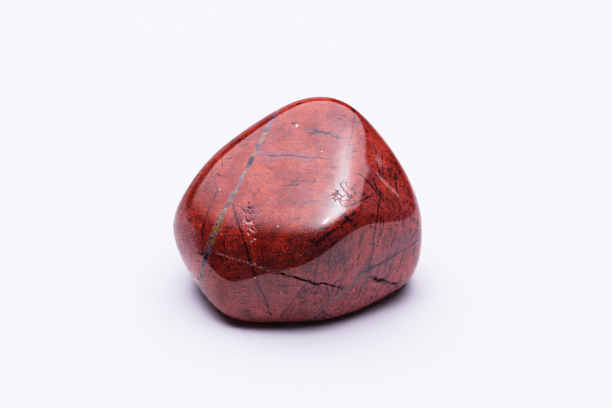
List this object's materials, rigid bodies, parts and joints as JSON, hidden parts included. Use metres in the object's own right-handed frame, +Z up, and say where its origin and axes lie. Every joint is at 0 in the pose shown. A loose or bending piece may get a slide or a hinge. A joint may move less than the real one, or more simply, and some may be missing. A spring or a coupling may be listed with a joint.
{
  "type": "brecciated jasper tumbled stone",
  "caption": "Tumbled and polished red brecciated jasper stone with healed veins, an open fissure and a flat underside to rest on.",
  "frame": {"origin": "middle of the stone's bounding box in plan, at the level of the flat underside it rests on", "axes": "+X along the stone's longest extent, -Y out of its broad front where the open fissure runs, +Z up"},
  "size_m": [0.0318, 0.0234, 0.0241],
  "materials": {
    "jasper": "high polish"
  },
  "bodies": {
    "root": {"jasper_stone": "jasper"}
  },
  "joints": []
}
